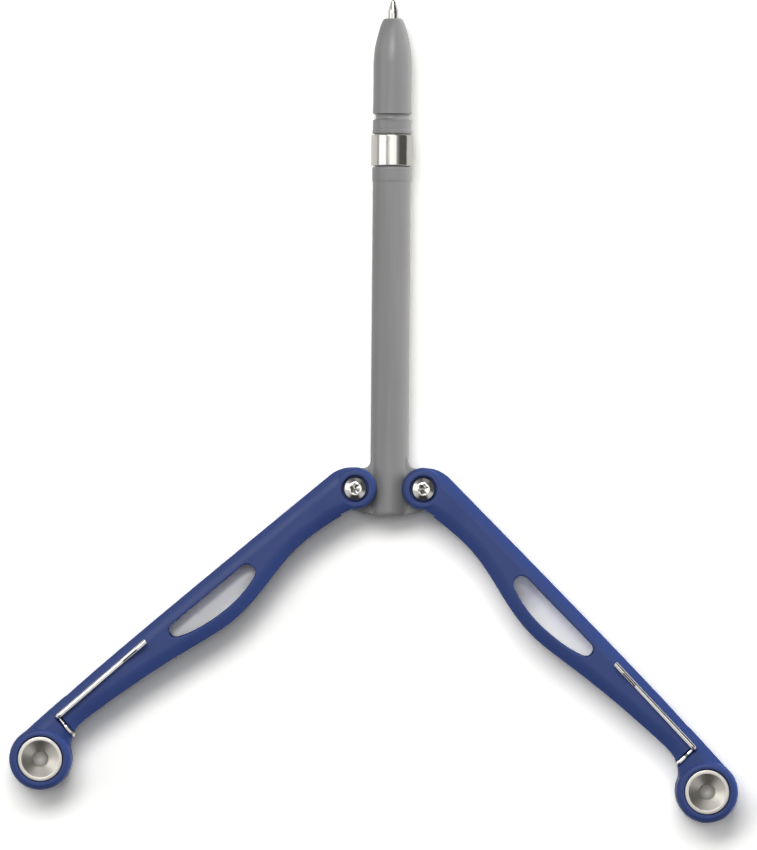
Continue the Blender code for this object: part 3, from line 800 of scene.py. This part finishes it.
def root_fillet(across, facing):
    """Hollow fillet between the barrel and a face of the tang. It dies out at the base and the shoulder."""
    barrel_r = BARREL_R - ROOT_SUNK
    face = TANG_HALF - ROOT_SUNK
    deep = face - 0.5
    bm = bmesh.new()
    loops = []
    for y, radius in ROOT_FILLET_RUN:
        rise = face + radius
        dull_shaded_middle = math.sqrt((barrel_r + radius) ** 2 - rise ** 2)
        lean = math.degrees(math.atan2(rise, dull_shaded_middle))
        section = arc((dull_shaded_middle, rise), radius, 180 + lean, 270, 8)
        section += [(dull_shaded_middle, deep), (section[0][0] - 0.3, deep)]
        loops.append([bm.verts.new((x * across, y, z * facing)) for x, z in section])
    rims = [[bm.edges.new((loop[i - 1], loop[i])) for i in range(len(loop))] for loop in loops]
    for rim, next_rim in zip(rims, rims[1:]):
        bmesh.ops.bridge_loops(bm, edges=rim + next_rim)
    bm.faces.new(loops[0])
    bm.faces.new(loops[-1])
    bmesh.ops.recalc_face_normals(bm, faces=bm.faces)
    return bm


def barrel():
    """Barrel and tang in one moulding, with pockets where the handle bosses turn."""
    body = turned(barrel_profile(), Y_AXIS, 112)
    tang = crowned(tang_outline(), TANG_HALF - TANG_EDGE, quarter_round(TANG_EDGE, TANG_EDGE, 5))
    steps = [("UNION", tang)]
    for across in (-1, 1):
        for facing in (-1, 1):
            steps.append(("UNION", root_fillet(across, facing)))
    pocket_r = BOSS_R + BOSS_CLEARANCE
    for side in (-1, 1):
        centre = (side * PIVOT_SPACING / 2, 0, 0)
        steps.append(("DIFFERENCE", cylinder(pocket_r, SEAT_HALF, FAR, 90, centre)))
        steps.append(("DIFFERENCE", cylinder(pocket_r, -FAR, -SEAT_HALF, 90, centre)))
        steps.append(("DIFFERENCE", cylinder(PIVOT_HOLE_R, -FAR, FAR, 40, centre)))
    bore_end = BARREL_TOP + SPIGOT_LENGTH + 1
    bore = [(0, BORE_BOTTOM), (BORE_R, BORE_BOTTOM), (BORE_R, bore_end), (0, bore_end)]
    steps.append(("DIFFERENCE", turned(bore, Y_AXIS, 48)))
    return combine(body, steps)


def ferrule():
    inner = FERRULE_R - FERRULE_WALL
    edge_r = FERRULE_R - FERRULE_EDGE
    low = arc((edge_r, FERRULE_BOTTOM + FERRULE_EDGE), FERRULE_EDGE, -90, 0, 4)
    high = arc((edge_r, FERRULE_TOP - FERRULE_EDGE), FERRULE_EDGE, 0, 90, 4)
    return turned([(inner, FERRULE_BOTTOM), *low, *high, (inner, FERRULE_TOP)], Y_AXIS, 128)


def nose_cone():
    """Tapered nose with a round groove, a spigot for the ferrule and a stepped bore."""
    lip = NOSE_R + NOSE_FLARE
    waist = lip - COLLAR_STEP
    collar = NOSE_BOTTOM + NOSE_COLLAR
    groove_half = GROOVE_WIDTH / 2
    neck_r = REFILL_NECK_R + REFILL_ROOM
    tip_r = TIP_R + REFILL_ROOM
    outer = [
        (SPIGOT_R, NOSE_BOTTOM - SPIGOT_LENGTH),
        (SPIGOT_R, NOSE_BOTTOM),
        (lip - NOSE_EDGE, NOSE_BOTTOM),
        (lip, NOSE_BOTTOM + NOSE_EDGE),
        (lip, collar - 0.1),
        (waist, collar),
        (waist, GROOVE_Y - groove_half - 0.25),
        *[(lip - GROOVE_DEPTH * x, GROOVE_Y + groove_half * y) for x, y in arc((0, 0), 1, -90, 90, 14)],
        (NOSE_R + 0.06, GROOVE_Y + 1.6),
        (NOSE_R, GROOVE_Y + 4),
        *bezier(*NOSE_TAPER, 18),
        *bezier(*NOSE_ROUND, 6),
        (NOSE_END_R - 0.2, NOSE_END),
    ]
    inner = [
        (tip_r, NOSE_END),
        (tip_r, REFILL_TOP + 1.0),
        (neck_r, REFILL_TOP + 0.5),
        (neck_r, REFILL_SHOULDER + 2.0),
        (BORE_R, REFILL_SHOULDER + 0.6),
        (BORE_R, NOSE_BOTTOM - SPIGOT_LENGTH),
    ]
    return turned(outer + inner, Y_AXIS, 112)


def refill_tip():
    """Writing tip: a straight neck, a rounded cone and a socket that holds the ball."""
    socket_r = BALL_R + BALL_ROOM
    ball_y = PEN_END - BALL_R
    cone_r = TIP_R + TIP_FLARE
    cone_start = (cone_r, TIP_CONE - 0.2)
    return turned([
        (0, REFILL_TOP + FIT),
        (TIP_R, REFILL_TOP + FIT),
        (TIP_R, TIP_CONE - 1.2),
        (cone_r, TIP_CONE - 1.0),
        cone_start,
        *bezier(cone_start, (cone_r, TIP_CONE + 0.3), (1.0, TIP_CONE + 1.2), (BALL_R + 0.14, TIP_END), 8),
        *arc((0, ball_y), socket_r, 5, -80, 8),
        (0, ball_y - socket_r),
    ], Y_AXIS, 56)


# Handle

def belly(offset, steps):
    """The belly edge from the neck back to the waist, moved in by an offset."""
    waist = (BELLY_WAIST[0], BELLY_WAIST[1] - offset)
    top = (BELLY_TOP[0], BELLY_TOP[1] - offset)
    neck = (BELLY_NECK[0], BELLY_NECK[1] - offset)
    from_neck, to_top, from_top, to_waist = BELLY_PULL_PLACES
    points = [neck]
    points += bezier(neck, (from_neck, neck[1] + BELLY_NECK_RISE), (to_top, top[1]), top, steps)
    points += bezier(top, (from_top, top[1]), (to_waist, waist[1]), waist, steps)
    return points


def handle_outline():
    """Straight edge, weight ring, neck, belly edge and pivot boss, in turn."""
    boss_r = BOSS_R - LIP_INSET
    ring_r = RING_R - LIP_INSET
    outline = [STRAIGHT_START]
    outline += bezier(STRAIGHT_START, *STRAIGHT_PULLS, (HANDLE_REACH, -ring_r), 36)
    fillet_n = BELLY_NECK[1] + NECK_FILLET
    reach = ring_r + NECK_FILLET
    fillet_s = HANDLE_REACH - math.sqrt(reach ** 2 - fillet_n ** 2)
    meet = math.degrees(math.atan2(fillet_n, HANDLE_REACH - fillet_s))
    outline += arc((HANDLE_REACH, 0), ring_r, -90, 180 - meet, 64)[1:]
    outline += arc((fillet_s, fillet_n), NECK_FILLET, -meet, -90, 16)[1:]
    outline += belly(0, 32)
    leave = math.radians(BOSS_LEAVE)
    on_boss = (boss_r * math.cos(leave), boss_r * math.sin(leave))
    outline += bezier(BELLY_WAIST, *BELLY_WAIST_PULLS, SPINE_END, 10)
    outline += bezier(SPINE_END, *SPINE_PULLS, on_boss, 8)
    margin = -STRAIGHT_START[1] - boss_r
    outer_n = (STRAIGHT_START[0] ** 2 - margin ** 2) / (2 * margin)
    outer_r = outer_n - STRAIGHT_START[1]
    turn = math.degrees(math.atan2(outer_n, STRAIGHT_START[0])) + 180
    outline += arc((0, 0), boss_r, BOSS_LEAVE, turn, 40)[1:]
    outline += arc((STRAIGHT_START[0], outer_n), outer_r, turn, 270, 16)[1:-1]
    return outline


def window_outline():
    """Long D-shaped window: two round ends, one straight side, one side that follows the belly."""
    outline = arc(WINDOW_FAR, WINDOW_FAR_R, 65, -90, 20)
    outline += arc(WINDOW_NEAR, WINDOW_NEAR_R, -90, -250, 22)
    start = outline[-1]
    end = outline[0]
    before, after = [(s, WINDOW_CREST[1]) for s in WINDOW_CREST_PULL_PLACES]
    outline += bezier(start, WINDOW_NEAR_PULL, before, WINDOW_CREST, 12)
    outline += bezier(WINDOW_CREST, after, WINDOW_FAR_PULL, end, 16)[:-1]
    return outline


def lip(centre_s, radius, shoulder, segments):
    """Raised round boss with a soft outer shoulder, a little proud of both faces."""
    width, drop = shoulder
    turns = [math.radians(a) for a in range(0, 91, 10)]
    edge = [(radius - width + width * math.sin(t), LIP_HALF - drop + drop * math.cos(t)) for t in turns]
    upper = [(0, LIP_HALF), *edge]
    lower = [(r, -z) for r, z in reversed(upper)]
    return turned(upper + lower, Z_AXIS, segments, (centre_s, 0, 0))


def trough():
    """Round channel that takes the closed pen, wider where the ferrule lies."""
    radius = NOSE_R + TROUGH_CLEARANCE
    relief = FERRULE_R + TROUGH_CLEARANCE
    low = FERRULE_BOTTOM - FERRULE_ROOM
    high = FERRULE_TOP + FERRULE_ROOM
    start = -FAR
    end = HANDLE_REACH + FAR
    bm = turned([(0, start), (radius, start), (radius, low), (relief, low),
                 (relief, high), (radius, high), (radius, end), (0, end)], Y_AXIS, 96)
    bmesh.ops.rotate(bm, verts=bm.verts, cent=(0, 0, 0), matrix=Matrix.Rotation(-math.pi / 2, 3, "Z"))
    bmesh.ops.translate(bm, verts=bm.verts, vec=(0, TROUGH_N, 0))
    return bm


def core():
    """Deep slot behind the trough, which leaves two side walls and the spine."""
    start_s = SLOT_R - CORE_OVERLAP
    end_s = CORE_END[0]
    inner = [p for p in belly(SPINE, 24) if p[0] < end_s - 2]
    inner.append((start_s, BELLY_WAIST[1] - SPINE))
    return prism([(start_s, TROUGH_N), (end_s, TROUGH_N), CORE_END, *inner], -CORE_HALF, CORE_HALF)


def clip_slot():
    """Slot across the front face for the clip's leg, round at its blind end."""
    near_s = CLIP_LEG_S - CLIP_SLOT_HALF
    far_s = CLIP_LEG_S + CLIP_SLOT_HALF
    outline = arc((CLIP_LEG_S, CLIP_ROW), CLIP_SLOT_HALF, 180, 360, 18)
    outline += [(far_s, CLIP_SLOT_END_N), (near_s, CLIP_SLOT_END_N)]
    return prism(outline, CLIP_SLOT_FLOOR, FAR)


def clip_pockets():
    """Groove down the edge of the spine, wider below where the clip swings, and the hole for its hook."""
    slot_s = CLIP_LEG_S - CLIP_SLOT_HALF
    near_s = CLIP_LEG_S - CLIP_WIRE_R - CLIP_SWING
    far_s = CLIP_LEG_S + CLIP_WIRE_R + FIT
    edge_n = CLIP_EDGE - CLIP_WIRE_R - FIT
    hook_n = CLIP_HOOK_N - CLIP_HOOK_END_ROOM
    hook_half = CLIP_WIRE_R + CLIP_HOOK_ROOM
    end_n = CLIP_SLOT_END_N
    return [
        block((slot_s, edge_n, CLIP_GROOVE_STEP), (far_s, end_n, FAR)),
        block((near_s, edge_n, CLIP_GROOVE_LOW), (far_s, end_n, CLIP_GROOVE_STEP + CLIP_GROOVE_OVERLAP)),
        block((near_s, hook_n, CLIP_HOOK_Z - hook_half), (far_s, end_n, CLIP_HOOK_Z + hook_half)),
    ]


def spine_notch():
    """Cut between the pivot boss and the end of the spine, where the belly edge steps in."""
    s, n = SPINE_END
    return prism([(s, n - 0.5), (s + 0.15, n + 2.0), (1.0, n + 4.0), (4.0, 3.3)], -FAR, FAR)


def crown_steps():
    """Inset and rise of each step across a handle's edge: a small round, then a long flat crown."""
    count = 10
    steps = quarter_round(EDGE_ROUND, FACE_HALF - CROWN_RISE - SIDE_HALF, 5)
    for i in range(count):
        rise = CROWN_RISE * ((1 - i / count) ** 2 - (1 - (i + 1) / count) ** 2)
        steps.append((CROWN_WIDTH / count, rise))
    return steps


def smooth_step(value, low, high):
    way = min(max((value - low) / (high - low), 0), 1)
    return way * way * (3 - 2 * way)


def wide_caps(bm):
    """The flat caps, which have more corners than any face of the edge."""
    return [f for f in bm.faces if len(f.verts) > 8]


def shape_faces(bm):
    """Let both faces rise to the height of the pivot boss, and sink towards the weight ring."""
    sink = [NECK_RUN[0] + (NECK_RUN[1] - NECK_RUN[0]) * i / 5 for i in range(6)]
    for s in (BOSS_RUN, BOSS_RUN * 0.8, BOSS_RUN * 0.6, BOSS_R, *sink):
        caps = wide_caps(bm)
        cut = caps + [e for f in caps for e in f.edges] + [v for f in caps for v in f.verts]
        bmesh.ops.bisect_plane(bm, geom=list(set(cut)), plane_co=(s, 0, 0), plane_no=(1, 0, 0))
    for vert in bm.verts:
        up = (LIP_HALF / FACE_HALF - 1) * (1 - smooth_step(vert.co.x, BOSS_R, BOSS_RUN))
        down = (NECK_HALF / FACE_HALF - 1) * smooth_step(vert.co.x, *NECK_RUN)
        vert.co.z *= 1 + up + down


def handle():
    """One moulded channel handle with its window, pivot boss and weight ring."""
    ring = (HANDLE_REACH, 0, 0)
    window = flared_cutter(window_outline(), WINDOW_EDGE, FACE_HALF, CORE_HALF - WINDOW_OVERLAP)
    window_back = turned_over(window.copy())
    steps = [
        ("DIFFERENCE", spine_notch()),
        ("UNION", lip(0, BOSS_R, BOSS_SHOULDER, 96)),
        ("UNION", lip(HANDLE_REACH, RING_R, RING_SHOULDER, 120)),
    ]
    cutters = [cylinder(SLOT_R, -CHEEK_GAP, CHEEK_GAP, 100), trough(), core(), window, window_back]
    for facing in (1, -1):
        cutters.append(round_mouth(
            COUNTERBORE_R, COUNTERBORE_FLOOR, LIP_HALF, COUNTERBORE_EDGE, facing, 84))
        cutters.append(round_mouth(
            WEIGHT_SEAT_R, WEIGHT_SEAT_FLOOR, LIP_HALF, WEIGHT_SEAT_EDGE, facing, 108, ring))
    cutters.append(cylinder(PIVOT_HOLE_R, -FAR, FAR, 40))
    cutters.append(cylinder(HUB_HOLE_R, -FAR, FAR, 40, ring))
    cutters += [clip_slot(), *clip_pockets()]
    steps += [("DIFFERENCE", cutter) for cutter in cutters]
    body = crowned(handle_outline(), SIDE_HALF, crown_steps())
    shape_faces(body)
    return combine(body, steps)


def clip():
    """Spring wire: raised lip, long arm over the face, leg across the handle, hook in the spine."""
    lip_z = FACE_HALF + CLIP_LIP_RISE
    corners = [
        (CLIP_TIP_S, CLIP_ROW, lip_z),
        (CLIP_LIP_S, CLIP_ROW, lip_z),
        (CLIP_TOUCH_S, CLIP_ROW, FACE_HALF + CLIP_WIRE_R + FIT),
        (CLIP_LEG_S, CLIP_ROW, FACE_HALF + CLIP_ARM_RISE),
        (CLIP_LEG_S, CLIP_ROW, CLIP_LEG_LOW),
        (CLIP_LEG_S, CLIP_LEG_KINK_N - CLIP_LEG_KINK_RUN, CLIP_LEG_LOW),
        (CLIP_LEG_S, CLIP_LEG_KINK_N, CLIP_LEG_HIGH),
        (CLIP_LEG_S, CLIP_EDGE, CLIP_LEG_HIGH),
        (CLIP_LEG_S, CLIP_EDGE, CLIP_HOOK_Z),
        (CLIP_LEG_S, CLIP_HOOK_N, CLIP_HOOK_Z),
    ]
    radii = [CLIP_LIP_BEND] * 2 + [CLIP_BEND] * 6
    return wire("clip_path", rounded_path(corners, radii, 10), CLIP_WIRE_R)


def wire(name, path, radius):
    """A round wire along a path, with its two ends rounded over by steps of way along and thickness."""
    ends = ((0.0, 0.35), (0.05, 0.62), (0.15, 0.85), (0.3, 1.0))
    run = (path[1] - path[0]).normalized()
    tail = (path[-2] - path[-1]).normalized()
    spots = [(path[0] + run * radius * way, size) for way, size in ends]
    spots += [(spot, 1.0) for spot in path[1:-1]]
    spots += [(path[-1] + tail * radius * way, size) for way, size in reversed(ends)]
    curve = bpy.data.curves.new(name, "CURVE")
    curve.dimensions = "3D"
    curve.bevel_depth = radius
    curve.bevel_resolution = 6
    curve.use_fill_caps = True
    spline = curve.splines.new("POLY")
    spline.points.add(len(spots) - 1)
    for point, (spot, size) in zip(spline.points, spots):
        point.co = (*spot, 1.0)
        point.radius = size
    guide = add_object(name, curve)
    graph = bpy.context.evaluated_depsgraph_get()
    mesh = bpy.data.meshes.new_from_object(guide.evaluated_get(graph))
    bpy.data.objects.remove(guide, do_unlink=True)
    bm = bmesh.new()
    bm.from_mesh(mesh)
    bmesh.ops.remove_doubles(bm, verts=bm.verts, dist=1e-4)
    bmesh.ops.recalc_face_normals(bm, faces=bm.faces)
    return bm


# Pivot hardware and weights, about the axis of their bore

def button_head(low, top, facing):
    """Points of a domed head, from its edge to the axis."""
    edge = top - HEAD_DOME
    dome = bezier((HEAD_R, edge), (2.6, edge + 0.30), (2.1, top - 0.16), (HEAD_FLAT_R, top), 14)
    points = [(HEAD_R - HEAD_EDGE, low), (HEAD_R, low + HEAD_EDGE), (HEAD_R, edge), *dome, (0, top)]
    return [(r, z * facing) for r, z in points]


def socket_cutter(top):
    """Six-lobed driver socket with a conical floor."""
    outline = []
    for i in range(96):
        turn = math.tau * i / 96
        reach = SOCKET_R * (1 - SOCKET_WAVE + SOCKET_WAVE * math.cos(SOCKET_LOBES * turn))
        outline.append((reach * math.cos(turn), reach * math.sin(turn)))
    bm = prism(outline, top - SOCKET_DEPTH, top + 1.0)
    draw_in(bm, flat_faces(bm, -1), [(0.75 * SOCKET_R, 0.5)])
    return bm


def pivot_screw():
    low = COUNTERBORE_FLOOR + FIT
    end = -COUNTERBORE_FLOOR + SCREW_SHORT
    top = low + SCREW_HEAD
    solid = turned([(0, end), (SCREW_R, end), (SCREW_R, low), *button_head(low, top, 1)], Z_AXIS, 72)
    return combine(solid, [("DIFFERENCE", socket_cutter(top))])


def pivot_nut():
    """Sleeve nut: a domed head at the back and a bored shaft that reaches the screw's head."""
    low = COUNTERBORE_FLOOR + FIT
    end = COUNTERBORE_FLOOR - FIT
    blind = -COUNTERBORE_FLOOR + SLEEVE_BORE_SHORT
    shaft = [(0, blind), (SLEEVE_BORE_R, blind), (SLEEVE_BORE_R, end), (SLEEVE_R, end), (SLEEVE_R, -low)]
    top = low + NUT_HEAD
    solid = turned([*shaft, *button_head(low, top, -1)], Z_AXIS, 72)
    return combine(solid, [("DIFFERENCE", turned_over(socket_cutter(top)))])


def washer(facing):
    inner = SLEEVE_R + FIT
    flat_r = WASHER_R - WASHER_EDGE
    profile = [(inner, WASHER_IN), (flat_r, WASHER_IN), (WASHER_R, WASHER_IN + WASHER_EDGE),
               (WASHER_R, WASHER_OUT - WASHER_EDGE), (flat_r, WASHER_OUT), (inner, WASHER_OUT)]
    return turned([(r, z * facing) for r, z in profile], Z_AXIS, 72)


def weight_dish():
    """Flange, flat rim, conical dish with turning rings and a shallow dimple, from the hub to the axis."""
    edge_z = WEIGHT_TOP - WEIGHT_EDGE
    outer = arc((WEIGHT_R - WEIGHT_EDGE, edge_z), WEIGHT_EDGE, 0, 90, 4)
    crest = arc((WEIGHT_RIM_R, edge_z), WEIGHT_EDGE, 90, 140, 4)
    start = Vector(crest[-1])
    end = Vector((WEIGHT_DISH_R, WEIGHT_DISH_FLOOR + WEIGHT_DISH_STEP))
    count = TURNING_RINGS * 4
    cone = []
    for i in range(1, count):
        spot = start.lerp(end, i / count)
        cone.append((spot.x, spot.y + TURNING_DEPTH * math.cos(math.pi * i / 2)))
    floor = bezier(tuple(end), (WEIGHT_DISH_R - 0.08, WEIGHT_DISH_FLOOR + 0.1),
                   (WEIGHT_DISH_R - 0.15, WEIGHT_DISH_FLOOR), (WEIGHT_DISH_R - 0.4, WEIGHT_DISH_FLOOR), 6)
    dimple_z = WEIGHT_DISH_FLOOR - WEIGHT_DIMPLE
    floor += bezier(floor[-1], (WEIGHT_DISH_R - 0.8, WEIGHT_DISH_FLOOR),
                    (0.7, dimple_z), (0, dimple_z), 8)[1:]
    return [(HUB_R, WEIGHT_FLANGE), (WEIGHT_R, WEIGHT_FLANGE), *outer, *crest, *cone, tuple(end), *floor]


def weight_front():
    """Dished weight whose stud screws into the one at the back."""
    stud = [(0, -STUD_LENGTH), (STUD_R, -STUD_LENGTH), (STUD_R, FIT), (HUB_R, FIT)]
    return turned(stud + weight_dish(), Z_AXIS, 128, (HANDLE_REACH, 0, 0))


def weight_back():
    bore_r = STUD_R + STUD_ROOM
    bore_end = STUD_LENGTH + STUD_END_ROOM
    socket = [(0, bore_end), (bore_r, bore_end), (bore_r, FIT), (HUB_R, FIT)]
    return turned([(r, -z) for r, z in socket + weight_dish()], Z_AXIS, 128, (HANDLE_REACH, 0, 0))


# Assembly

def add_pen(grey, bright, sleeve, brass, steel):
    piece("barrel_moulding", barrel(), PEN_PLACE, grey, "pen", "barrel")
    piece("nose_moulding", nose_cone(), PEN_PLACE, grey, "pen", "nose_cone")
    piece("ferrule_sleeve", ferrule(), PEN_PLACE, sleeve, "pen", "ferrule")
    piece("writing_tip", refill_tip(), PEN_PLACE, bright, "pen", "refill_tip")
    for node, finish in (("writing_ball", bright), ("refill_tube", brass), ("refill_spring", steel)):
        slots = frame["nodes"][node].data.materials
        slots.clear()
        slots.append(finish)


def add_handle(side, mirrored, blue, bright, brass, clip_steel):
    """A handle's visible pieces and the hardware that it carries."""
    place = handle_place(side, mirrored)
    body = f"{side}_handle_body"
    weight_centre = place @ Vector((HANDLE_REACH, 0, 0))
    steel = turned_steel(f"{side}_turned_steel", tuple(weight_centre))
    piece(f"{side}_handle_moulding", handle(), place, blue, body, f"{side}_handle")
    piece(f"{side}_screw", pivot_screw(), place, bright, body, f"{side}_pivot_screw")
    piece(f"{side}_sleeve_nut", pivot_nut(), place, bright, body, f"{side}_pivot_nut")
    piece(f"{side}_front_weight", weight_front(), place, steel, body, f"{side}_weight_front")
    piece(f"{side}_back_weight", weight_back(), place, steel, body, f"{side}_weight_back")
    piece(f"{side}_wire_clip", clip(), place, clip_steel,
          f"{side}_clip_body", f"{side}_clip")
    for end, facing in (("front", 1), ("back", -1)):
        piece(f"{side}_{end}_washer_ring", washer(facing), place, brass, "pen",
              f"{side}_washer_{end}")


def main():
    scene = bpy.context.scene
    scene.view_settings.view_transform = "Standard"
    add_camera()
    add_world()
    add_lamps()
    add_floor()
    # The grey's lighter streaks run along the barrel: painted reflection bands in its colour
    grey = moulded_plastic("grey_moulding", GREY, roughness=0.34, gloss=0.42,
                           streak_turn=0.0, streak_stretch=(1, 0.03, 1), streak_tone=0.16)
    blue = moulded_plastic("blue_moulding", BLUE, roughness=0.45, gloss=0.22,
                           streak_turn=0.6, streak_stretch=(1, 9, 1), streak_tone=0.03)
    bright = plated_metal("bright_plating", BRIGHT_PLATING, roughness=0.11, axis_stretch=(1, 12, 1))
    sleeve = plated_metal("sleeve_plating", SLEEVE_PLATING, roughness=0.16, axis_stretch=(12, 1, 12))
    clip_steel = plated_metal("clip_wire", CLIP_STEEL, roughness=0.10, axis_stretch=(1, 1, 6))
    brass = plain_brass("plain_brass")
    add_pen(grey, bright, sleeve, brass, clip_steel)
    add_handle("left", False, blue, bright, brass, clip_steel)
    add_handle("right", True, blue, bright, brass, clip_steel)


main()
